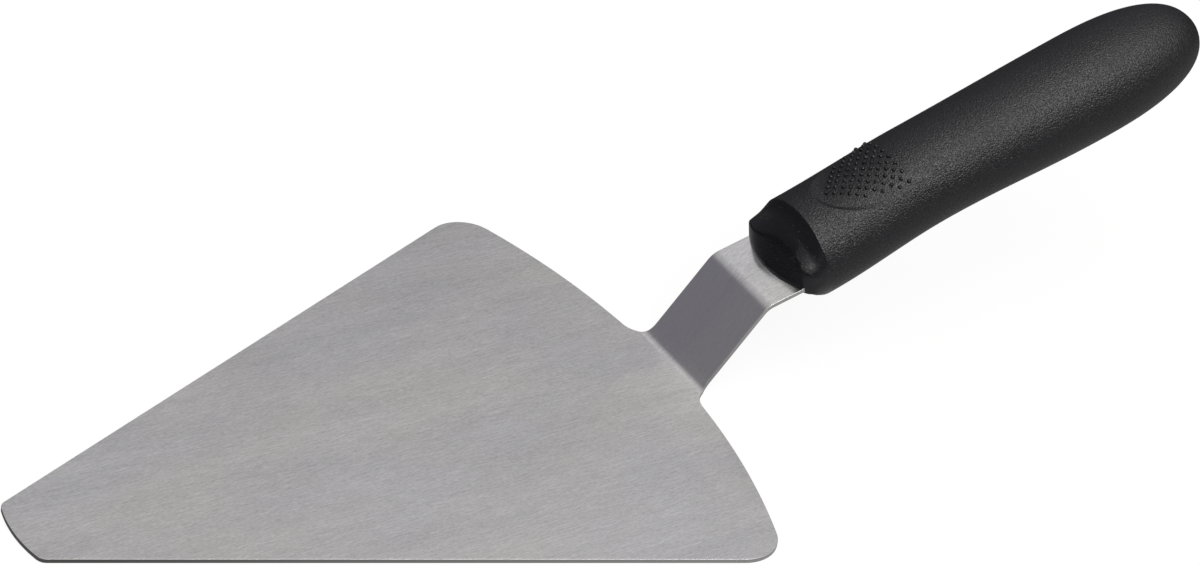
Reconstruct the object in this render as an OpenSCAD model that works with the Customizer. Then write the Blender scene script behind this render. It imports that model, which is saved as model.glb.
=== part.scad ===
// Pizza server: a slice-shaped blade stamped from one steel sheet together with its
// cranked neck and tang, and a plastic handle moulded round the tang.
// The blade lies flat on z = 0, its tip points along -X and the handle rises towards +X.

/* [Blade] */
// Length of the blade on its centre line, from the tip to the bowed rear edge
blade_length = 152; // [120:1:190]
// Angle between the two straight sides, one slice of a round
slice_angle = 45; // [36:1:52]
// Width of the blunt tip between the two sides
tip_width = 18.6; // [12:0.2:28]
// Radius of the slightly bowed front edge
tip_bow = 33; // [22:1:80]
// Rounding of the two tip corners
tip_corner = 2.5; // [1:0.25:4]
// Rounding of the two wide rear corners
rear_corner = 8; // [4:0.5:14]
// Thickness of the steel sheet
sheet = 1; // [0.8:0.1:1.6]

/* [Neck and tang] */
// Width of the neck and of the tang
neck_width = 21.4; // [16:0.2:22]
// Fillet between the rear edge and the neck, in the flat blank
neck_fillet = 6; // [3:0.5:8]
// Flat length behind the rear edge, up to the corner of the lower bend
neck_setback = 2.4; // [1.5:0.1:4]
// Height from the blade to the corner of the upper bend
neck_rise = 17.85; // [12:0.05:26]
// Slope of the neck
neck_angle = 52; // [42:1:62]
// Inside radius of the lower bend
lower_bend = 2.25; // [1:0.25:3]
// Inside radius of the upper bend
upper_bend = 4; // [2:0.25:6]
// Slope of the tang
tang_angle = 15.5; // [10:0.5:20]
// Bare tang from the corner of the upper bend to the handle's nose
tang_reveal = 6.7; // [5:0.1:12]
// Length of tang held in the handle
tang_grip = 62; // [46:1:72]
// Width of the tang's tail inside the handle
tail_width = 12; // [10:0.5:16]
// Number of holes in the tang, which the moulding flows through
tang_holes = 2; // [1:1:3]
// Diameter of those holes
tang_hole_d = 7; // [4:0.5:9]
// Distance between those holes
tang_hole_pitch = 18; // [12:1:20]

/* [Handle] */
// Length of the handle
handle_length = 113.6; // [100:0.2:130]
// Angle by which the handle rises more steeply than the tang
handle_lift = 3.5; // [1:0.5:5]
// Width at the finger guard
guard_width = 24.8; // [23.4:0.2:30]
// Width at the waist
waist_width = 23.6; // [23:0.2:30]
// Width at the palm swell
palm_width = 25.2; // [23:0.2:32]
// Height of the top above the tang at the finger guard
guard_top = 11.5; // [10:0.1:14]
// Height of the top at the waist
waist_top = 13.2; // [11:0.1:15]
// Height of the top at the palm swell
palm_top = 13.3; // [11:0.1:15]
// Depth of the finger guard below the tang
guard_depth = 9.4; // [8:0.1:12]
// Depth of the waist
waist_depth = 7.7; // [6.6:0.1:11]
// Depth of the palm swell
palm_depth = 9.4; // [7.5:0.1:13]
// Distance from the nose to the finger guard
guard_at = 9; // [7:0.5:14]
// Distance from the nose to the waist
waist_at = 41; // [34:1:50]
// Distance from the nose to the palm swell
palm_at = 83; // [74:1:92]
// Squareness of the cross-section, 2 for an ellipse
squareness = 2.15; // [2:0.05:3]
// Squareness of the blunt rear end, 2 for an ellipse
end_squareness = 2.5; // [2:0.05:3]

/* [Nose] */
// Radius of the nose's front edge, seen from above
nose_bow = 24; // [16:1:40]
// Rounding where the front edge turns into the sides
nose_corner = 5; // [3:0.5:9]
// Height of the nose wall above the tang, under the scoop
nose_wall = 2.8; // [2:0.1:4]
// Radius of the scoop hollowed out of the top
scoop_radius = 9; // [6:0.25:10]
// Distance from the nose to the upright end of the scoop
scoop_reach = 9.4; // [8:0.1:11]
// Depth of the nose's lip below the tang
under_lip = 1.3; // [1:0.1:2]
// Distance from the nose to the sloping cut behind that lip
under_at = 3.6; // [2:0.1:5]
// Slope of that cut
under_slope = 42; // [34:1:55]

/* [Thumb rest] */
// Distance from the nose to the front of the rest
rest_at = 13.6; // [12:0.1:16]
// Radius at the middle of the rest's front edge, which opens out like a bow wave
rest_nose = 3.9; // [3:0.1:6]
// Width of the rest
rest_width = 18; // [15:0.2:20]
// Length of the rest, which fades out at its rear end
rest_length = 20.4; // [18:0.2:26]
// Depth of the rest at its front edge
rest_depth = 0.65; // [0.3:0.05:1]
// Distance from the front of the rest to the first dot
dot_margin = 3.7; // [3:0.1:5.5]
// Diameter of a grip dot
dot_d = 0.95; // [0.6:0.05:1.1]
// Height of a grip dot
dot_height = 0.45; // [0.3:0.05:0.7]
// Distance between dots in a row along the handle
dot_pitch = 2.4; // [1.8:0.1:3]
// Distance between neighbouring rows
row_pitch = 1.2; // [1:0.02:1.4]

/* [Hidden] */
$fn = 96;
ARC_STEPS = 12;
BOW_STEPS = 24;

// Direction at an angle, and the angle of a direction
function unit(a) = [cos(a), sin(a)];
function angle(v) = atan2(v.y, v.x);

// Blade outline, with the tip at x = 0 and its two sides meeting ahead of it in the apex
half_angle = slice_angle / 2;
side_dir = unit(half_angle);
side_normal = unit(half_angle + 90);
tip_sag = tip_bow - sqrt(pow(tip_bow, 2) - pow(tip_width / 2, 2));
apex = [tip_sag - tip_width / 2 / tan(half_angle), 0];
bow_centre = [tip_bow, 0];
rear_radius = blade_length - apex.x;
rear_corner_at = apex - rear_corner * side_normal
    + sqrt(pow(rear_radius - rear_corner, 2) - pow(rear_corner, 2)) * side_dir;
tip_inset = apex - tip_corner * side_normal - bow_centre;
tip_corner_at = bow_centre + tip_inset - side_dir * (tip_inset * side_dir
    + sqrt(pow(tip_bow - tip_corner, 2) - pow(tip_inset * side_normal, 2)));
neck_half = neck_width / 2;
lower_corner = [blade_length + neck_setback, sheet / 2];
fillet_y = neck_half + neck_fillet;
fillet_at = apex + [sqrt(pow(rear_radius + neck_fillet, 2) - pow(fillet_y, 2)), fillet_y];
tip_turn = angle(tip_corner_at - bow_centre);
rear_turn = angle(rear_corner_at - apex);
fillet_turn = angle(fillet_at - apex);
blade_half = concat(
    [[0, 0]],
    inner(arc(bow_centre, tip_bow, 180, tip_turn)),
    arc(tip_corner_at, tip_corner, tip_turn, half_angle + 90),
    arc(rear_corner_at, rear_corner, half_angle + 90, rear_turn),
    inner(arc(apex, rear_radius, rear_turn, fillet_turn, BOW_STEPS)),
    [for (p = arc(fillet_at, neck_fillet, fillet_turn + 180, 270)) folded(p)]);

// Side view of the folded sheet, whose middle line turns round two bends
lower_radius = lower_bend + sheet / 2;
upper_radius = upper_bend + sheet / 2;
upper_corner = lower_corner + [neck_rise / tan(neck_angle), neck_rise];
nose_at = upper_corner + tang_reveal * unit(tang_angle);
tang_end = nose_at + tang_grip * unit(tang_angle);
lower_centre = lower_corner + lower_radius * [-tan(neck_angle / 2), 1];
upper_centre = upper_corner - upper_radius * (unit(neck_angle + 90)
    + tan((neck_angle - tang_angle) / 2) * unit(neck_angle));
middle_line = concat(
    [[[-sheet, sheet / 2], 0]],
    bend(lower_centre, lower_radius, 0, neck_angle),
    bend(upper_centre, -upper_radius, neck_angle, tang_angle),
    [[tang_end, tang_angle]]);
first_hole = (tang_grip - (tang_holes - 1) * tang_hole_pitch) / 2;

// Handle, measured along its own axis from the nose
handle_angle = tang_angle + handle_lift;
end_cap = handle_length - palm_at;
SLIVER = 1;
nose_corner_y = (guard_width + SLIVER) / 2 - nose_corner;
nose_corner_at = [nose_bow - sqrt(pow(nose_bow - nose_corner, 2) - pow(nose_corner_y, 2)), nose_corner_y];
nose_turn = angle(nose_corner_at - [nose_bow, 0]);
tang_half = [[nose_at.x + nose_corner_at.x, neck_half], [tang_end.x + sheet, tail_width / 2]];
scoop_at = [scoop_reach - scoop_radius, nose_wall + scoop_radius];
lip_end = [under_at, -under_lip];
clear = 2 * (guard_top + guard_depth);

// The handle's skin: rings of points along the grip, drawn in over the round end
RINGS = 30;
CAP_RINGS = 12;
SIDES = 48;
stations = concat(
    [for (i = [0:RINGS]) [palm_at * i / RINGS, 1]],
    [for (i = [1:CAP_RINGS - 1]) let (a = 90 * i / CAP_RINGS)
        [palm_at + end_cap * squared(sin(a), end_squareness), squared(cos(a), end_squareness)]]);
skin = concat(
    [for (st = stations, j = [0:SIDES - 1]) section_point(st[0], st[1], 360 * j / SIDES)],
    [[handle_length, 0, middle(palm_at)]]);
last_ring = len(stations) - 1;
server_length = nose_at.x + max([for (p = skin) p.x * cos(handle_angle) - p.z * sin(handle_angle)]);

// Thumb rest, whose outer rows of dots start later
rest_end = rest_at + rest_length;
rest_tilt = atan(rest_depth / rest_length);
rest_front = [for (i = [0:BOW_STEPS]) let (y = rest_width / 2 * i / BOW_STEPS)
    [rest_at + pow(y, 2) / (2 * rest_nose), y]];
OUTER_ROWS = 2;
side_rows = floor(rest_width / 2 / row_pitch);
DOT_SIDES = 8;

// Points along an arc
function arc(centre, radius, from, to, steps = ARC_STEPS) =
    [for (i = [0:steps]) centre + radius * unit(from + (to - from) * i / steps)];

// A point of the flat blank seen from above once folded: the climbing neck draws its outline in
function folded(p) = [min(p.x, lower_corner.x) + max(p.x - lower_corner.x, 0) * cos(neck_angle), p.y];

// The points between a curve's first and last
function inner(points) = [for (i = [1:len(points) - 2]) points[i]];

// Points and slopes of the middle line through a bend, with a negative radius for one that turns down
function bend(centre, radius, from, to) = [for (i = [0:ARC_STEPS])
    let (a = from + (to - from) * i / ARC_STEPS) [centre + radius * unit(a - 90), a]];

// Smooth step from 0 to 1
function ease(t) = (1 - cos(180 * min(max(t, 0), 1))) / 2;

// A size that runs from the finger guard through the waist to the palm swell
function along(s, guard, waist, palm) = guard
    + (waist - guard) * ease((s - guard_at) / (waist_at - guard_at))
    + (palm - waist) * ease((s - waist_at) / (palm_at - waist_at));
function half_width(s) = along(s, guard_width, waist_width, palm_width) / 2;
function top(s) = along(s, guard_top, waist_top, palm_top);
function depth(s) = along(s, guard_depth, waist_depth, palm_depth);
function middle(s) = (top(s) - depth(s)) / 2;
function half_height(s) = (top(s) + depth(s)) / 2;

// Rounded-square cross-section at a distance from the nose, drawn in by a factor
function squared(c, n) = sign(c) * pow(abs(c), 2 / n);
function section_point(s, size, a) = [
    s,
    size * half_width(s) * squared(cos(a), squareness),
    middle(s) + size * half_height(s) * squared(sin(a), squareness)];

// Height of the handle's upper skin, and of the floor of the thumb rest
function upper_skin(s, y) = middle(s)
    + half_height(s) * pow(1 - pow(abs(y) / half_width(s), squareness), 1 / squareness);
function rest_floor(s, y) = upper_skin(s, y) - (rest_end - s) * tan(rest_tilt);

// Distance from the nose to the first dot of a row
function first_dot(row) = rest_at + dot_margin + row * dot_pitch / 2
    + max(row - side_rows + OUTER_ROWS, 0) * dot_pitch;

// Places a piece with the server's footprint centred on the origin
module placed() {
    translate([-server_length / 2, 0, 0]) children();
}

module on_tang() {
    translate([nose_at.x, 0, nose_at.y]) rotate([0, -tang_angle, 0]) children();
}

module on_handle() {
    translate([nose_at.x, 0, nose_at.y]) rotate([0, -handle_angle, 0]) children();
}

// Polygon through half an outline, which starts on the middle line, and its mirror image
module symmetric(half) {
    polygon(concat(half, [for (i = [len(half) - 1:-1:1]) [half[i].x, -half[i].y]]));
}

// Side view of the sheet, half its thickness to either side of the middle line
module folded_profile() {
    upper = [for (m = middle_line) m[0] + sheet / 2 * unit(m[1] + 90)];
    lower = [for (m = middle_line) m[0] - sheet / 2 * unit(m[1] + 90)];
    polygon(concat(upper, [for (i = [len(lower) - 1:-1:0]) lower[i]]));
}

// The stamped and folded sheet: its outline from above, as thick as its side view
module folded_sheet() {
    difference() {
        intersection() {
            translate([0, 0, -sheet]) linear_extrude(tang_end.y + 3 * sheet)
                symmetric(concat(blade_half, tang_half));
            rotate([90, 0, 0]) linear_extrude(2 * rear_radius, center = true) folded_profile();
        }
        on_tang() for (i = [0:tang_holes - 1])
            translate([first_hole + i * tang_hole_pitch, 0, 0])
                cylinder(d = tang_hole_d, h = 4 * sheet, center = true);
    }
}

// Closed skin through the rings of section points, up to the end point
module grip_skin() {
    next = function(j) (j + 1) % SIDES;
    polyhedron(
        points = skin,
        faces = concat(
            [[for (j = [0:SIDES - 1]) j]],
            [for (i = [0:last_ring - 1], j = [0:SIDES - 1])
                [i * SIDES + j, (i + 1) * SIDES + j, (i + 1) * SIDES + next(j), i * SIDES + next(j)]],
            [for (j = [0:SIDES - 1]) [last_ring * SIDES + j, len(skin) - 1, last_ring * SIDES + next(j)]]),
        convexity = 4);
}

// Handle seen from above: a bowed front edge with round corners
module nose_outline() {
    symmetric(concat(
        [[0, 0]],
        inner(arc([nose_bow, 0], nose_bow, 180, nose_turn)),
        arc(nose_corner_at, nose_corner, nose_turn, 90),
        [[handle_length + SLIVER, palm_width]]));
}

// Side view of what is cut away in front: the scoop above the tang and the slope below it
module nose_cuts() {
    translate(scoop_at) circle(scoop_radius);
    translate([-clear, nose_wall]) square([clear + scoop_at.x, clear]);
    translate([-clear, scoop_at.y]) square([clear + scoop_reach, clear]);
    polygon([[-clear, -under_lip], lip_end, lip_end + clear * unit(-under_slope), [-clear, -clear]]);
}

// Room of the thumb rest above its floor, the handle's own skin tipped down at the front
module thumb_rest() {
    difference() {
        linear_extrude(clear) symmetric(concat(rest_front, [[rest_end, rest_width / 2]]));
        translate([rest_end, 0, 0]) rotate([0, -rest_tilt, 0]) translate([-rest_end, 0, 0]) grip_skin();
    }
}

// Staggered rows of domed dots that stand on the floor of the thumb rest
module grip_dots() {
    for (row = [-side_rows:side_rows], s = [first_dot(abs(row)):dot_pitch:rest_end])
        translate([s, row * row_pitch, rest_floor(s, row * row_pitch)])
            hull() {
                cylinder(d = dot_d, h = 2 * dot_height, center = true, $fn = DOT_SIDES);
                cylinder(d = dot_d / 2, h = dot_height, $fn = DOT_SIDES);
            }
}

module blade() {
    color([0.70, 0.70, 0.69]) placed() folded_sheet();
}

module handle() {
    color([0.09, 0.09, 0.10]) placed() difference() {
        on_handle() {
            difference() {
                intersection() {
                    grip_skin();
                    linear_extrude(2 * clear, center = true) nose_outline();
                }
                rotate([90, 0, 0]) linear_extrude(2 * clear, center = true) nose_cuts();
                thumb_rest();
            }
            grip_dots();
        }
        folded_sheet();
    }
}

blade();
handle();
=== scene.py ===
import math

import bmesh
import bpy
from mathutils import Matrix, Quaternion, Vector


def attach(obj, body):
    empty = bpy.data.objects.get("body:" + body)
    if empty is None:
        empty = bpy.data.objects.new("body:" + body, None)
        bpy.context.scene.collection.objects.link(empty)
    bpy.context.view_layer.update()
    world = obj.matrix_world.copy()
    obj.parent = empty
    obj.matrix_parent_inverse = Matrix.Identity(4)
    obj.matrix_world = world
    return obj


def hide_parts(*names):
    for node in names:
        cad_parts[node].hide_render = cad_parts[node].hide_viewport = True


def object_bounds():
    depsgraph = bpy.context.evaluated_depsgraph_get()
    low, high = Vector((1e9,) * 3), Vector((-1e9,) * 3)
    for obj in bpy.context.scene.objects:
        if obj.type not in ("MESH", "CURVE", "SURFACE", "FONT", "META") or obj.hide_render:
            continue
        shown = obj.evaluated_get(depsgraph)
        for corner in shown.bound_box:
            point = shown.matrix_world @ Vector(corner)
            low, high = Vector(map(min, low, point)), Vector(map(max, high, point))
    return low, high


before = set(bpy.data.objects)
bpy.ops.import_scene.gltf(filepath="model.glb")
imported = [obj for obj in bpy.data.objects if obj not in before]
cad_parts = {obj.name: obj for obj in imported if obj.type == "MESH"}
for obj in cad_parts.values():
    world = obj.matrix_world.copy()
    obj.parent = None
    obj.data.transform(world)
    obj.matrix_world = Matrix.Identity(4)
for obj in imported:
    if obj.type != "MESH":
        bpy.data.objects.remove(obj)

cad_low, cad_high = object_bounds()


# Blade
# One blank of stainless sheet, 1 mm thick, sheared to the shape of a slice with a strip left at its
# wide end. The strip is folded up and back to make the neck and the tang that the grip holds.
# Its faces are brushed along their length, and tumbling has taken the burr off the sheared edges.
MM = 0.001
EDGE_ROUND = 0.09 * MM
EDGE_ANGLE = math.radians(32)
BEND_ANGLE = math.radians(50)
FLAT_ANGLE = math.radians(0.2)
WELD_WITHIN = 0.001 * MM
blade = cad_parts["blade"]


def shade_smooth_by_angle(limit):
    """A geometry group that smooths every face and keeps the edges sharper than the limit."""
    group = bpy.data.node_groups.new("smooth_by_angle", "GeometryNodeTree")
    group.interface.new_socket("Geometry", in_out="INPUT", socket_type="NodeSocketGeometry")
    group.interface.new_socket("Geometry", in_out="OUTPUT", socket_type="NodeSocketGeometry")
    start = group.nodes.new("NodeGroupInput")
    end = group.nodes.new("NodeGroupOutput")
    faces = group.nodes.new("GeometryNodeSetShadeSmooth")
    faces.domain = "FACE"
    edges = group.nodes.new("GeometryNodeSetShadeSmooth")
    edges.domain = "EDGE"
    edges.inputs["Shade Smooth"].default_value = False
    fold = group.nodes.new("GeometryNodeInputMeshEdgeAngle")
    sharp = group.nodes.new("FunctionNodeCompare")
    sharp.operation = "GREATER_THAN"
    sharp.inputs["B"].default_value = limit
    group.links.new(start.outputs[0], faces.inputs["Geometry"])
    group.links.new(faces.outputs[0], edges.inputs["Geometry"])
    group.links.new(fold.outputs["Unsigned Angle"], sharp.inputs["A"])
    group.links.new(sharp.outputs[0], edges.inputs["Selection"])
    group.links.new(edges.outputs[0], end.inputs[0])
    return group


weld = blade.modifiers.new("weld_faces", "WELD")
weld.merge_threshold = WELD_WITHIN
flats = blade.modifiers.new("whole_flats", "DECIMATE")
flats.decimate_type = "DISSOLVE"
flats.angle_limit = FLAT_ANGLE
tumbled = blade.modifiers.new("tumbled_edges", "BEVEL")
tumbled.width = EDGE_ROUND
tumbled.segments = 2
tumbled.limit_method = "ANGLE"
tumbled.angle_limit = EDGE_ANGLE
tumbled.use_clamp_overlap = False
smooth = blade.modifiers.new("smooth_bends", "NODES")
smooth.node_group = shade_smooth_by_angle(BEND_ANGLE)
level = blade.modifiers.new("level_flats", "WEIGHTED_NORMAL")
level.mode = "FACE_AREA"
level.weight = 100
level.keep_sharp = True


def value_noise(tree, vector, stretch, detail, roughness, slant=0.0):
    """A noise with its own scale on each axis, in features per metre, and a slant in degrees."""
    turn = tree.nodes.new("ShaderNodeMapping")
    turn.inputs["Rotation"].default_value = (0.0, 0.0, math.radians(slant))
    place = tree.nodes.new("ShaderNodeMapping")
    place.inputs["Scale"].default_value = stretch
    noise = tree.nodes.new("ShaderNodeTexNoise")
    noise.inputs["Scale"].default_value = 1.0
    noise.inputs["Detail"].default_value = detail
    noise.inputs["Roughness"].default_value = roughness
    tree.links.new(vector, turn.inputs["Vector"])
    tree.links.new(turn.outputs["Vector"], place.inputs["Vector"])
    tree.links.new(place.outputs["Vector"], noise.inputs["Vector"])
    return noise.outputs["Fac"]


def remap(tree, value, low, high, to_low, to_high):
    """A value carried from one range to another, held at its ends."""
    node = tree.nodes.new("ShaderNodeMapRange")
    node.inputs["From Min"].default_value = low
    node.inputs["From Max"].default_value = high
    node.inputs["To Min"].default_value = to_low
    node.inputs["To Max"].default_value = to_high
    tree.links.new(value, node.inputs["Value"])
    return node.outputs["Result"]


def combine(tree, operation, first, second):
    """Two values, or a value and a plain number, put through one math operation."""
    node = tree.nodes.new("ShaderNodeMath")
    node.operation = operation
    tree.links.new(first, node.inputs[0])
    if isinstance(second, (int, float)):
        node.inputs[1].default_value = second
    else:
        tree.links.new(second, node.inputs[1])
    return node.outputs[0]


def blend_colours(tree, factor, first, second):
    """Two colours, each a plain one or a socket, mixed by a factor."""
    node = tree.nodes.new("ShaderNodeMix")
    node.data_type = "RGBA"
    tree.links.new(factor, node.inputs[0])
    for colour, socket in ((first, node.inputs[6]), (second, node.inputs[7])):
        if isinstance(colour, tuple):
            socket.default_value = colour + (1.0,)
        else:
            tree.links.new(colour, socket)
    return node.outputs[2]


def handling_marks():
    """A shader group of what hands and use leave behind: soft smudges, and small specks of scuff."""
    group = bpy.data.node_groups.new("handling_marks", "ShaderNodeTree")
    for name, kind in (("Vector", "NodeSocketVector"), ("Smudge Size", "NodeSocketFloat"),
                       ("Speck Size", "NodeSocketFloat"), ("Speck Share", "NodeSocketFloat")):
        group.interface.new_socket(name, in_out="INPUT", socket_type=kind)
    for name in ("Smudges", "Specks"):
        group.interface.new_socket(name, in_out="OUTPUT", socket_type="NodeSocketFloat")
    start = group.nodes.new("NodeGroupInput")
    end = group.nodes.new("NodeGroupOutput")
    for size, mark, detail in (("Smudge Size", "Smudges", 4.0), ("Speck Size", "Specks", 1.0)):
        noise = group.nodes.new("ShaderNodeTexNoise")
        noise.inputs["Detail"].default_value = detail
        group.links.new(start.outputs["Vector"], noise.inputs["Vector"])
        per_metre = group.nodes.new("ShaderNodeMath")
        per_metre.operation = "DIVIDE"
        per_metre.inputs[0].default_value = 1.0
        group.links.new(start.outputs[size], per_metre.inputs[1])
        group.links.new(per_metre.outputs[0], noise.inputs["Scale"])
        if mark == "Smudges":
            group.links.new(remap(group, noise.outputs["Fac"], 0.35, 0.65, 0.0, 1.0), end.inputs[mark])
        else:
            over = combine(group, "SUBTRACT", noise.outputs["Fac"], start.outputs["Speck Share"])
            group.links.new(remap(group, over, 0.0, 0.04, 0.0, 1.0), end.inputs[mark])
    return group


marks_group = handling_marks()


def marks(tree, vector, smudge_size, speck_size, speck_share):
    """The group of handling marks placed in a material, with sizes in metres."""
    node = tree.nodes.new("ShaderNodeGroup")
    node.node_tree = marks_group
    node.inputs["Smudge Size"].default_value = smudge_size
    node.inputs["Speck Size"].default_value = speck_size
    node.inputs["Speck Share"].default_value = speck_share
    tree.links.new(vector, node.inputs["Vector"])
    return node.outputs["Smudges"], node.outputs["Specks"]


STEEL_WARM = (0.690, 0.682, 0.664)
STEEL_COOL = (0.660, 0.654, 0.670)
# Side wall colour, darker than the faces: partly the sheared edge's duller finish, partly painted shade
STEEL_SHEARED_AND_SHADED = (0.50, 0.495, 0.49)
STEEL_ROUGHNESS = (0.27, 0.37)
STRIP_SMOOTHER = 0.55
STRIP_RISES = (1.5 * MM, 4.0 * MM)
STREAK_DEPTH = 0.0015 * MM
BRUSHED_AT = -3.5
HAIRLINES = (300, 3000, 300)
CROSSED_LINES = (1000, 2500, 1000)
FLECKS = (130, 2400, 130)
BANDS = (18, 130, 18)
CLOUDS = (22, 40, 22)
STREAK_SHADE, BAND_SHADE, FLECK_SHADE, SPECK_SHADE = 0.21, 0.05, 0.10, 0.05
SLOPED_SHADE = 0.3
STREAK_SATIN = 0.75
STEEL_SMUDGE, STEEL_SPECK, STEEL_SPECK_SHARE = 28.0 * MM, 0.5 * MM, 0.76

steel = bpy.data.materials.new("brushed_steel")
steel.use_nodes = True
tree = steel.node_tree
shader = tree.nodes["Principled BSDF"]
shader.inputs["Metallic"].default_value = 1.0
place = tree.nodes.new("ShaderNodeTexCoord").outputs["Object"]
hairlines = value_noise(tree, place, HAIRLINES, 3.0, 0.65, BRUSHED_AT + 2.0)
crossed = value_noise(tree, place, CROSSED_LINES, 2.0, 0.6, BRUSHED_AT - 5.0)
flecks = value_noise(tree, place, FLECKS, 1.0, 0.5, BRUSHED_AT - 1.0)
bands = value_noise(tree, place, BANDS, 3.0, 0.55, BRUSHED_AT + 4.0)
clouds = value_noise(tree, place, CLOUDS, 3.0, 0.55, BRUSHED_AT)
smudges, specks = marks(tree, place, STEEL_SMUDGE, STEEL_SPECK, STEEL_SPECK_SHARE)
streaks = combine(tree, "MULTIPLY", combine(tree, "ADD", hairlines, crossed), 0.5)
tint = remap(tree, clouds, 0.36, 0.64, 0.0, 1.0)
toned = blend_colours(tree, tint, STEEL_COOL, STEEL_WARM)
normal_z = tree.nodes.new("ShaderNodeSeparateXYZ")
tree.links.new(tree.nodes.new("ShaderNodeNewGeometry").outputs["Normal"], normal_z.inputs[0])
level_face = combine(tree, "ABSOLUTE", normal_z.outputs["Z"], 0.0)
wall = remap(tree, level_face, 0.12, 0.3, 1.0, 0.0)
shade = remap(tree, streaks, 0.30, 0.70, -STREAK_SHADE, STREAK_SHADE)
shade = combine(tree, "ADD", shade, remap(tree, bands, 0.3, 0.7, -BAND_SHADE, BAND_SHADE))
shade = combine(tree, "ADD", shade, remap(tree, flecks, 0.60, 0.72, 0.0, FLECK_SHADE))
shade = combine(tree, "SUBTRACT", shade, combine(tree, "MULTIPLY", specks, SPECK_SHADE))
shade = combine(tree, "MULTIPLY", shade, remap(tree, level_face, 0.65, 0.95, SLOPED_SHADE, 1.0))
lit = tree.nodes.new("ShaderNodeVectorMath")
lit.operation = "SCALE"
tree.links.new(toned, lit.inputs[0])
tree.links.new(combine(tree, "ADD", shade, 1.0), lit.inputs["Scale"])
# The side walls take a darker colour: partly the sheared edge's duller finish, partly painted shade for
# the dim room they face.
tree.links.new(blend_colours(tree, wall, lit.outputs[0], STEEL_SHEARED_AND_SHADED), shader.inputs["Base Color"])
satin = combine(tree, "MULTIPLY_ADD", streaks, STREAK_SATIN)
tree.links.new(smudges, satin.node.inputs[2])
satin = remap(tree, satin, 0.30, 1.45, *STEEL_ROUGHNESS)
above = tree.nodes.new("ShaderNodeSeparateXYZ")
tree.links.new(place, above.inputs[0])
strip = remap(tree, above.outputs["Z"], *STRIP_RISES, 1.0, STRIP_SMOOTHER)
tree.links.new(combine(tree, "MULTIPLY", satin, strip), shader.inputs["Roughness"])
bump = tree.nodes.new("ShaderNodeBump")
bump.inputs["Strength"].default_value = 1.0
bump.inputs["Distance"].default_value = STREAK_DEPTH
tree.links.new(streaks, bump.inputs["Height"])
tree.links.new(bump.outputs["Normal"], shader.inputs["Normal"])
blade.data.materials.clear()
blade.data.materials.append(steel)


# Handle
# One moulding of black plastic, shot round the tang in a spark-eroded mould, so it has no rivets.
# Its skin is full at the guard, waisted for the fingers and full again at the palm. A lower, smooth
# nose tapers down to the tang in front of the guard's rim, and a thumb rest is sunk in behind it.
HAIR = 0.04 * MM
HANDLE_RISE = math.radians(19)
NOSE_FROM_TIP = 174.802 * MM
NOSE_HEIGHT = 20.14 * MM
NOSE_AT = Vector((cad_low[0] + NOSE_FROM_TIP, 0.0, NOSE_HEIGHT))
HANDLE_LENGTH = 113.6 * MM - HAIR
GUARD_AT, WAIST_AT, PALM_AT = 9.0 * MM, 41.0 * MM, 83.0 * MM
WIDTHS = (24.8 * MM, 23.6 * MM, 25.2 * MM)
TOPS = (11.5 * MM, 13.2 * MM, 13.3 * MM)
DEPTHS = (9.4 * MM, 7.7 * MM, 9.4 * MM)
SQUARENESS = 2.15
END_SQUARENESS = 2.5
NOSE_BOW = 24.0 * MM
NOSE_CORNER = 5.0 * MM
NOSE_SPARE = 0.5 * MM
NOSE_SHARE = 0.42
NOSE_SWELL = 0.051 / MM
RIM_AT = 9.35 * MM
RIM_BOW = 0.9 * MM
RIM_STEP = 2.8 * MM
NOSE_LEAN_NEAR, NOSE_LEAN_FAR = 0.60, 0.14
FAR_SIDE = (-1.0 * MM, 8.5 * MM)
NEAR_CORNER = (6.5 * MM, 10.5 * MM)
UNDER_LIP = 1.3 * MM
UNDER_AT = 3.6 * MM
UNDER_SLOPE = math.tan(math.radians(42))
REST_AT, REST_END = 14.25 * MM, 34.0 * MM
REST_HALF_LENGTH = 13.5 * MM
REST_HALF_WIDTH = 9.0 * MM
REST_SIDE = 10.8 * MM
REST_DEPTH = 0.95 * MM
REST_WALL = 1.5 * MM
NEAR_HALF = 2.0 * MM
CRISP_EDGE = 0.12 * MM
ROUNDED_EDGE = 0.45 * MM
TOP_SIDES, UNDER_SIDES = 210, 80
HALVINGS = 40
NOSE_HALVINGS = 24
handle_turn = Matrix.Rotation(-HANDLE_RISE, 4, "Y")
handle_place = Matrix.Translation(NOSE_AT) @ handle_turn


def ease(t):
    """Nought to one with a level start and finish."""
    return (1 - math.cos(math.pi * min(max(t, 0.0), 1.0))) / 2


def along(s, sizes):
    """A size at a distance from the nose, eased from guard to waist to palm."""
    guard, waist, palm = sizes
    to_waist = ease((s - GUARD_AT) / (WAIST_AT - GUARD_AT))
    to_palm = ease((s - WAIST_AT) / (PALM_AT - WAIST_AT))
    return guard + (waist - guard) * to_waist + (palm - waist) * to_palm


def end_share(s):
    """How much of the palm's section is left where the end closes."""
    t = max(s - PALM_AT, 0.0) / (HANDLE_LENGTH - PALM_AT)
    return max(1 - t ** END_SQUARENESS, 0.0) ** (1 / END_SQUARENESS)


def soft_least(first, second, edge):
    """The lesser of two reaches, with the corner between them rounded off."""
    return min(first, second) - edge * math.log(1 + math.exp(-abs(first - second) / edge))


def nose_half_width(s):
    """Half the nose's plan width: a bow across the front, a corner arc each side."""
    corner_y = WIDTHS[0] / 2 + NOSE_SPARE - NOSE_CORNER
    corner_s = NOSE_BOW - math.sqrt((NOSE_BOW - NOSE_CORNER) ** 2 - corner_y ** 2)
    bow = math.sqrt(max(NOSE_BOW ** 2 - (NOSE_BOW - max(s, 0.0)) ** 2, 0.0))
    if s >= corner_s:
        return WIDTHS[0]
    corner = corner_y + math.sqrt(max(NOSE_CORNER ** 2 - (s - corner_s) ** 2, 0.0))
    touch = corner_y * NOSE_BOW / (NOSE_BOW - NOSE_CORNER)
    return bow if bow < touch else corner


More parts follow.
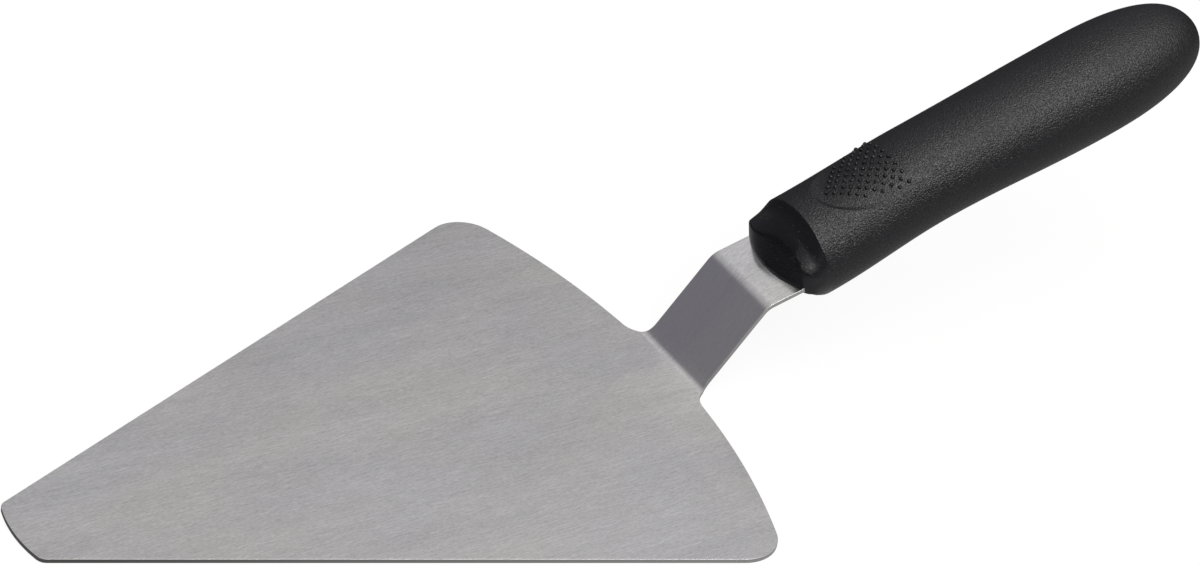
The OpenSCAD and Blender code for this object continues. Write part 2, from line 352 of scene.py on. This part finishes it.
def nose_share(s, across):
    """How much of the section's height is left in front of the rim, which bows forward at its sides."""
    rim = RIM_AT - RIM_BOW * across ** 2
    nose = NOSE_SHARE + NOSE_SWELL * s
    return nose + (1 - nose) * min(max((s - rim) / RIM_STEP + 1, 0.0), 1.0) ** 2


def nose_reach(s, across, up):
    """How far out the nose's front lets the skin go, found by halving, for it leans back as it rises."""
    low, high = 0.0, WIDTHS[0]
    for _ in range(NOSE_HALVINGS):
        reach = (low + high) / 2
        upright = ease((reach * across - FAR_SIDE[0]) / (FAR_SIDE[1] - FAR_SIDE[0]))
        upright += ease((-reach * across - NEAR_CORNER[0]) / (NEAR_CORNER[1] - NEAR_CORNER[0]))
        lean = NOSE_LEAN_NEAR + (NOSE_LEAN_FAR - NOSE_LEAN_NEAR) * upright
        if reach * abs(across) < nose_half_width(s - lean * max(reach * up, 0.0)):
            low = reach
        else:
            high = reach
    return low


def rest_sink(s, y):
    """How far the oval thumb rest is sunk: a crisp rim, an easing wall and a rearward fade."""
    lead = min(s - REST_AT - REST_HALF_LENGTH, 0.0) / REST_HALF_LENGTH
    aside = y / REST_HALF_WIDTH
    ring = max(math.hypot(lead, aside), 1e-6)
    inside = (1 - ring) * ring / math.hypot(lead / REST_HALF_LENGTH, aside / REST_HALF_WIDTH)
    fade = min(max((REST_END - s) / (REST_END - REST_AT), 0.0), 1.0)
    side = ease((REST_SIDE - abs(y)) / (REST_SIDE / 4))
    wall = REST_WALL * (1 + ease(0.5 + y / (2 * NEAR_HALF)))
    foot = 1 - min(max(inside / wall, 0.0), 1.0)
    return REST_DEPTH * fade * side * (1 - foot ** 2)


def handle_skin(s, turn):
    """A place on the grip's skin: distance from the nose and the turn round its middle."""
    share = end_share(s)
    top, depth = along(s, TOPS), along(s, DEPTHS)
    middle = (top - depth) / 2
    half_width = share * along(s, WIDTHS) / 2
    half_height = share * (top + depth) / 2
    across, up = math.cos(turn), math.sin(turn)
    if up > 0 and s < RIM_AT:
        half_height *= nose_share(s, across)
    full = (abs(across) / half_width) ** SQUARENESS + (abs(up) / half_height) ** SQUARENESS
    reach = full ** (-1 / SQUARENESS)
    if s < GUARD_AT:
        far = ease((reach * across - FAR_SIDE[0]) / (FAR_SIDE[1] - FAR_SIDE[0]))
        edge = ROUNDED_EDGE + (CRISP_EDGE - ROUNDED_EDGE) * far if up > 0 else CRISP_EDGE
        reach = soft_least(reach, nose_reach(s, across, up), edge)
    if s < UNDER_AT + 2 * GUARD_AT and up < -1e-6:
        underside = -UNDER_LIP - UNDER_SLOPE * max(s - UNDER_AT, 0.0)
        reach = soft_least(reach, (middle - underside) / -up, CRISP_EDGE)
    reach = max(reach - HAIR * share, 0.0)
    y, n = reach * across, middle + reach * up
    if up > 0:
        n -= rest_sink(s, y)
    return Vector((s, y, n))


def mesh_object(name, mesh):
    """A bmesh made into a smooth object at the origin."""
    bmesh.ops.recalc_face_normals(mesh, faces=mesh.faces)
    for face in mesh.faces:
        face.smooth = True
    data = bpy.data.meshes.new(name)
    mesh.to_mesh(data)
    mesh.free()
    piece = bpy.data.objects.new(name, data)
    bpy.context.scene.collection.objects.link(piece)
    return piece


def spread(start, stop, step):
    """Places from a start up to a stop, evenly spaced."""
    count = max(round((stop - start) / step), 1)
    return [start + (stop - start) * i / count for i in range(count)]


# The skin's rings, from, to and step in mm: closest at the rim, then over the thumb rest
RING_STRETCHES = (
    (0.3, 2.0, 0.17),
    (2.0, 7.8, 0.3),
    (7.8, 9.5, 0.05),
    (9.5, 10.6, 0.12),
    (10.6, 13.6, 0.3),
    (13.6, 24.0, 0.2),
    (24.0, 26.0, 0.3),
    (26.0, 36.0, 0.5),
)
stations = [0.02 * MM, 0.06 * MM, 0.12 * MM, 0.2 * MM]
for ring_from, ring_to, ring_step in RING_STRETCHES:
    stations += spread(ring_from * MM, ring_to * MM, ring_step * MM)
stations += spread(36.0 * MM, PALM_AT, 1.0 * MM)
END_RINGS = 34
closing = [math.sin(math.pi / 2 * i / END_RINGS) for i in range(END_RINGS)]
stations += [PALM_AT + (HANDLE_LENGTH - PALM_AT) * share for share in closing]

grip = bmesh.new()
ring = bmesh.ops.create_circle(grip, segments=TOP_SIDES + UNDER_SIDES, radius=1.0)["verts"]
turns = spread(0.0, math.pi, math.pi / TOP_SIDES)
turns += spread(math.pi, 2 * math.pi, math.pi / UNDER_SIDES)
for vert, turn in zip(ring, turns):
    vert.co = handle_skin(stations[0], turn)
edges = list(grip.edges)
front = bmesh.ops.contextual_create(grip, geom=edges)["faces"]
bmesh.ops.poke(grip, faces=front)
for s in stations[1:]:
    pulled = bmesh.ops.extrude_edge_only(grip, edges=edges)["geom"]
    edges = [part for part in pulled if isinstance(part, bmesh.types.BMEdge)]
    ring = [part for part in pulled if isinstance(part, bmesh.types.BMVert)]
    edges = [edge for edge in edges if all(vert in ring for vert in edge.verts)]
    for vert, turn in zip(ring, turns):
        vert.co = handle_skin(s, turn)
end = bmesh.ops.contextual_create(grip, geom=edges)["faces"]
pole = bmesh.ops.poke(grip, faces=end)["verts"]
for vert in pole:
    vert.co.x = HANDLE_LENGTH
bmesh.ops.transform(grip, matrix=handle_place, verts=grip.verts)
handle = mesh_object("handle_moulding", grip)

PLASTIC_BLACK = (0.0018, 0.0014, 0.0028)
PLASTIC_GREY = (0.0040, 0.0035, 0.0050)
PLASTIC_SCUFFED = (0.030, 0.030, 0.030)
PLASTIC_ROUGHNESS = (0.22, 0.38)
PLASTIC_SPECULAR = 0.43
PLASTIC_SMUDGE, PLASTIC_SPECK, PLASTIC_SPECK_SHARE = 14.0 * MM, 0.7 * MM, 0.73
GRAIN = (2800, 2800, 2800)
GRAIN_DEPTH = 0.26 * MM
NOSE_SMOOTHER = 0.5
NOSE_GRAIN = 0.3
GRAIN_STARTS = 0.9 * RIM_AT

plastic = bpy.data.materials.new("moulded_plastic")
plastic.use_nodes = True
tree = plastic.node_tree
shader = tree.nodes["Principled BSDF"]
shader.inputs["Specular IOR Level"].default_value = PLASTIC_SPECULAR
place = tree.nodes.new("ShaderNodeTexCoord").outputs["Object"]
grain = value_noise(tree, place, GRAIN, 1.0, 0.6)
smudges, specks = marks(tree, place, PLASTIC_SMUDGE, PLASTIC_SPECK, PLASTIC_SPECK_SHARE)
peaks = remap(tree, grain, 0.35, 0.65, 0.0, 1.0)
black = blend_colours(tree, peaks, PLASTIC_BLACK, PLASTIC_GREY)
tree.links.new(blend_colours(tree, specks, black, PLASTIC_SCUFFED), shader.inputs["Base Color"])
rough = combine(tree, "MULTIPLY_ADD", grain, 2.0)
tree.links.new(smudges, rough.node.inputs[2])
rough = remap(tree, rough, 0.7, 2.3, *PLASTIC_ROUGHNESS)
handle_axis = handle_turn @ Vector((1.0, 0.0, 0.0))
behind = tree.nodes.new("ShaderNodeVectorMath")
behind.operation = "DOT_PRODUCT"
behind.inputs[1].default_value = handle_axis
tree.links.new(place, behind.inputs[0])
nose_s = NOSE_AT.dot(handle_axis)
grained = remap(tree, behind.outputs["Value"], nose_s + GRAIN_STARTS, nose_s + RIM_AT, 0.0, 1.0)
smooth_nose = remap(tree, grained, 0.0, 1.0, NOSE_SMOOTHER, 1.0)
tree.links.new(combine(tree, "MULTIPLY", rough, smooth_nose), shader.inputs["Roughness"])
bump = tree.nodes.new("ShaderNodeBump")
bump.inputs["Strength"].default_value = 1.0
bump.inputs["Distance"].default_value = GRAIN_DEPTH
relief = combine(tree, "MULTIPLY", grain, remap(tree, grained, 0.0, 1.0, NOSE_GRAIN, 1.0))
tree.links.new(relief, bump.inputs["Height"])
tree.links.new(bump.outputs["Normal"], shader.inputs["Normal"])
handle.data.materials.append(plastic)
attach(handle, "root")
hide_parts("handle")


# Grip dots
# Small domes that the mould's drilled dimples leave on the thumb rest, of the same black plastic.
# They stand in slanting rows behind the rest's front wall, and give the thumb its hold.
DOT_RADIUS = 0.475 * MM
DOT_HEIGHT = 0.45 * MM
DOT_PITCH = 2.4 * MM
ROW_PITCH = 1.2 * MM
OUTER_ROW = 7
FULL_ROWS = 5
FIRST_DOT = 17.4 * MM
DOTS_ASIDE = 0.6 * MM
SLOPE_STEP = 0.3 * MM
TURN_SPARE = 0.02


def on_top(s, y):
    """The place on the grip's top over a point of its plan."""
    low, high = TURN_SPARE, math.pi - TURN_SPARE
    for _ in range(HALVINGS):
        turn = (low + high) / 2
        if handle_skin(s, turn).y > y:
            low = turn
        else:
            high = turn
    return handle_skin(s, (low + high) / 2)


dots = bmesh.new()
for row in range(-OUTER_ROW, OUTER_ROW + 1):
    s = FIRST_DOT + abs(row) * ROW_PITCH + max(abs(row) - FULL_ROWS, 0) * DOT_PITCH
    while s <= REST_END:
        y = row * ROW_PITCH + DOTS_ASIDE
        foot = on_top(s, y)
        ahead = on_top(s + SLOPE_STEP, y) - on_top(s - SLOPE_STEP, y)
        aside = on_top(s, y + SLOPE_STEP) - on_top(s, y - SLOPE_STEP)
        outward = ahead.cross(aside).normalized()
        dome = bmesh.ops.create_icosphere(dots, subdivisions=2, radius=DOT_RADIUS)["verts"]
        squash = Matrix.Scale(DOT_HEIGHT / DOT_RADIUS, 4, Vector((0, 0, 1)))
        stand = outward.to_track_quat("Z", "Y").to_matrix().to_4x4()
        bmesh.ops.transform(dots, matrix=Matrix.Translation(foot) @ stand @ squash, verts=dome)
        s += DOT_PITCH
bmesh.ops.transform(dots, matrix=handle_place, verts=dots.verts)
grip_dots = mesh_object("grip_dots", dots)
grip_dots.data.materials.append(plastic)
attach(grip_dots, "root")


# Floor
# A plain white sheet under the server. It shows the camera its own white and mirror-like faces a
# dimmer glow with painted shade, and its matt part still takes the light, so that the server keeps a
# faint shadow.
FLOOR_HALF = 4.0
FLOOR_GAP = 0.05 * MM
FLOOR_WHITE = (0.85, 0.85, 0.85)
FLOOR_FIBRE = (0.87, 0.87, 0.87)
FIBRES = (60, 60, 60)
FLOOR_SEEN = 0.92
FLOOR_MIRRORED_TIP, FLOOR_MIRRORED_NEAR, FLOOR_MIRRORED_FAR = 0.15, 0.58, 0.08
FLOOR_SHADE_BY_HANDLE = 0.8
TIP_TO_NECK = (-0.13, 0.03)
NECK_TO_GRIP = (0.05, 0.10)
NEAR_TO_FAR = (-0.04, 0.06)

sheet = bmesh.new()
bmesh.ops.create_grid(sheet, x_segments=2, y_segments=2, size=FLOOR_HALF)
bmesh.ops.translate(sheet, vec=(0.0, 0.0, -FLOOR_GAP), verts=sheet.verts)
floor = mesh_object("floor", sheet)
white = bpy.data.materials.new("white_sheet")
white.use_nodes = True
tree = white.node_tree
tree.nodes.clear()
paper = tree.nodes.new("ShaderNodeBsdfDiffuse")
place = tree.nodes.new("ShaderNodeTexCoord").outputs["Object"]
fibres = value_noise(tree, place, FIBRES, 3.0, 0.5)
tree.links.new(blend_colours(tree, fibres, FLOOR_WHITE, FLOOR_FIBRE), paper.inputs["Color"])
glow = tree.nodes.new("ShaderNodeEmission")
glow.inputs["Color"].default_value = (1.0, 1.0, 1.0, 1.0)
rays = tree.nodes.new("ShaderNodeLightPath")
mirrored = combine(tree, "MAXIMUM", rays.outputs["Is Glossy Ray"], rays.outputs["Is Transmission Ray"])
across = tree.nodes.new("ShaderNodeSeparateXYZ")
tree.links.new(place, across.inputs[0])
# What mirror-like faces see of the sheet is a glow with painted shade: dim by the tip, brighter from the
# neck on, a little dimmer beside the grip and dark on the far side.
near = remap(tree, across.outputs["X"], *TIP_TO_NECK, FLOOR_MIRRORED_TIP, FLOOR_MIRRORED_NEAR)
by_handle = remap(tree, across.outputs["X"], *NECK_TO_GRIP, 1.0, FLOOR_SHADE_BY_HANDLE)
near = combine(tree, "MULTIPLY", near, by_handle)
far_share = remap(tree, across.outputs["Y"], *NEAR_TO_FAR, 0.0, 1.0)
painted_mirror_shade = tree.nodes.new("ShaderNodeMix")
painted_mirror_shade.inputs[3].default_value = FLOOR_MIRRORED_FAR
tree.links.new(far_share, painted_mirror_shade.inputs[0])
tree.links.new(near, painted_mirror_shade.inputs[2])
direct = combine(tree, "SUBTRACT", combine(tree, "MULTIPLY", mirrored, -1.0), -1.0)
tree.links.new(combine(tree, "MAXIMUM", painted_mirror_shade.outputs[0], direct), glow.inputs["Strength"])
seen = combine(tree, "MULTIPLY", rays.outputs["Is Camera Ray"], FLOOR_SEEN)
mix = tree.nodes.new("ShaderNodeMixShader")
tree.links.new(combine(tree, "MAXIMUM", seen, mirrored), mix.inputs["Fac"])
tree.links.new(paper.outputs[0], mix.inputs[1])
tree.links.new(glow.outputs[0], mix.inputs[2])
tree.links.new(mix.outputs[0], tree.nodes.new("ShaderNodeOutputMaterial").inputs["Surface"])
floor.data.materials.append(white)


# Light
# A white room that is brightest overhead and towards its near side, where the windows would be,
# and dim at its far left and its right. A small key light gives the edges their glint, and one
# softbox overhead, flagged off the steel, gives the grip its sheen.
WALLS_LOW_AT, WALLS_LOW = 0.46, (0.165, 0.161, 0.176, 1.0)
WALLS_HIGH_AT, WALLS_HIGH = 0.71, (1.06, 1.052, 1.044, 1.0)
FLAG_AT = (-0.70, 0.62, 0.12)
FLAG_GREY = (0.220, 0.215, 0.238)
RIGHT_GREY = (0.085, 0.083, 0.086)
WINDOWS_AT = (0.08, -0.70, 0.71)
WINDOWS_BRIGHT = (1.12, 1.10, 1.05)

world = bpy.data.worlds.new("studio")
bpy.context.scene.world = world
world.use_nodes = True
tree = world.node_tree
background = tree.nodes["Background"]
heading = tree.nodes.new("ShaderNodeTexCoord").outputs["Generated"]
height = tree.nodes.new("ShaderNodeSeparateXYZ")
tree.links.new(heading, height.inputs[0])
walls = tree.nodes.new("ShaderNodeValToRGB")
walls.color_ramp.elements[0].position = WALLS_LOW_AT
walls.color_ramp.elements[0].color = WALLS_LOW
walls.color_ramp.elements[1].position = WALLS_HIGH_AT
walls.color_ramp.elements[1].color = WALLS_HIGH
tree.links.new(height.outputs["Z"], walls.inputs["Fac"])
flag = tree.nodes.new("ShaderNodeVectorMath")
flag.operation = "DOT_PRODUCT"
flag.inputs[1].default_value = FLAG_AT
tree.links.new(heading, flag.inputs[0])
shaded = remap(tree, flag.outputs["Value"], 0.0, 0.54, 0.0, 1.0)
shaded = combine(tree, "MULTIPLY", shaded, remap(tree, height.outputs["Z"], 0.60, 0.85, 1.0, 0.4))
room = blend_colours(tree, shaded, walls.outputs["Color"], FLAG_GREY)
rightward = remap(tree, height.outputs["X"], 0.65, 0.92, 0.0, 1.0)
room = blend_colours(tree, rightward, room, RIGHT_GREY)
windows = tree.nodes.new("ShaderNodeVectorMath")
windows.operation = "DOT_PRODUCT"
windows.inputs[1].default_value = WINDOWS_AT
tree.links.new(heading, windows.inputs[0])
daylight = remap(tree, windows.outputs["Value"], 0.28, 0.85, 0.0, 1.0)
leftward = remap(tree, height.outputs["X"], -0.75, -0.25, 0.0, 1.0)
daylight = combine(tree, "MULTIPLY", daylight, leftward)
sill = remap(tree, height.outputs["Z"], 0.15, 0.45, 0.0, 1.0)
daylight = combine(tree, "MULTIPLY", daylight, sill)
room = blend_colours(tree, daylight, room, WINDOWS_BRIGHT)
rays = tree.nodes.new("ShaderNodeLightPath")
tree.links.new(
    blend_colours(tree, rays.outputs["Is Camera Ray"], room, (1.0, 1.0, 1.0)),
    background.inputs["Color"],
)

LIT_AT = Vector((0.05, 0.0, 0.0))
KEY_AT = Vector((0.05, -0.50, 0.85))
KEY_SIZE = (0.4, 0.4)
KEY_WATTS = 2.2
SOFTBOX_AT = Vector((0.05, -0.40, 0.88))
SOFTBOX_SIZE = (0.7, 1.0)
SOFTBOX_WATTS = 5.5


def area_lamp(name, place, width, height, watts):
    """A rectangular lamp that faces the server."""
    data = bpy.data.lights.new(name, "AREA")
    data.shape = "RECTANGLE"
    data.size = width
    data.size_y = height
    data.energy = watts
    lamp = bpy.data.objects.new(name, data)
    lamp.location = place
    lamp.rotation_euler = (LIT_AT - place).to_track_quat("-Z", "Y").to_euler()
    bpy.context.scene.collection.objects.link(lamp)
    return lamp


area_lamp("key", KEY_AT, *KEY_SIZE, KEY_WATTS)
softbox = area_lamp("softbox", SOFTBOX_AT, *SOFTBOX_SIZE, SOFTBOX_WATTS)
lit_by_softbox = bpy.data.collections.new("lit_by_softbox")
for piece in (handle, grip_dots, floor):
    lit_by_softbox.objects.link(piece)
softbox.light_linking.receiver_collection = lit_by_softbox


# Camera
# A long lens that looks down on the server from its near left,
# with the slight roll that the picture has.
AIM = Vector((0.01467, 0.03245, 0.0))
DISTANCE = 0.8891
HEADING = math.radians(36.827)
DROP = math.radians(34.107)
ROLL = math.radians(8.979)
SENSOR = 36.0
LENS = 121.548
NEAREST_SEEN = 0.01
look = Vector((
    math.sin(HEADING) * math.cos(DROP),
    math.cos(HEADING) * math.cos(DROP),
    -math.sin(DROP),
))
lens = bpy.data.cameras.new("camera")
lens.sensor_width = SENSOR
lens.lens = LENS
lens.clip_start = NEAREST_SEEN
camera = bpy.data.objects.new("camera", lens)
camera.location = AIM - look * DISTANCE
turned = look.to_track_quat("-Z", "Y") @ Quaternion((0.0, 0.0, 1.0), ROLL)
camera.rotation_euler = turned.to_euler()
bpy.context.scene.collection.objects.link(camera)
bpy.context.scene.camera = camera
bpy.context.scene.view_settings.view_transform = "Standard"
